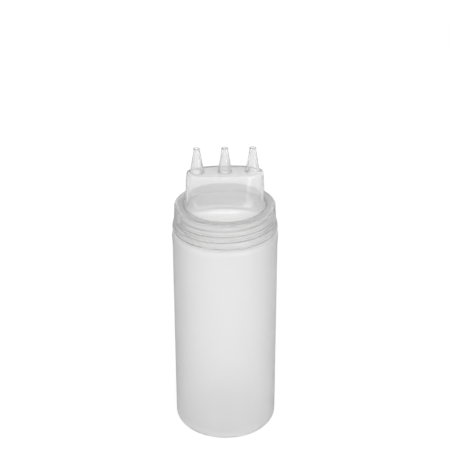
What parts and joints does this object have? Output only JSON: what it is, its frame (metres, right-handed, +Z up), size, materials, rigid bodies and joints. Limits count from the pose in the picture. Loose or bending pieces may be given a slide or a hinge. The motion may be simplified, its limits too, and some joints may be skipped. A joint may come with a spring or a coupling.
{
  "type": "three-tip squeeze bottle",
  "caption": "Translucent cylindrical squeeze bottle with a wide threaded neck and a screw cap whose tall oblong head carries a row of tapered pouring tips.",
  "frame": {"origin": "centre of the base, on the surface that the bottle stands on", "axes": "+Z up along the bottle's axis, X along the row of tips, Y across the head"},
  "size_m": [0.0706, 0.0706, 0.2057],
  "materials": {
    "bottle_plastic": "satin, natural translucent polyethylene",
    "cap_plastic": "semi-gloss, natural translucent polyethylene",
    "seal_rubber": "smooth, natural silicone"
  },
  "bodies": {
    "bottle": {"bottle": "bottle_plastic"},
    "seal": {"seal_ring": "seal_rubber"},
    "cap": {"screw_cap": "cap_plastic"}
  },
  "joints": [
    {"name": "cap_lift", "type": "slide", "parent": "bottle", "child": "seal", "axis": [0, 0, 1], "range_m": [0, 0.01155]},
    {"name": "cap_turn", "type": "hinge", "parent": "seal", "child": "cap", "pos_m": [0, 0, 0.157], "axis": [0, 0, 1], "range_deg": [0, 990]}
  ],
  "couplings": [
    {"joint": "cap_lift", "follows": "cap_turn", "m_per_rad": 0.00066845}
  ]
}
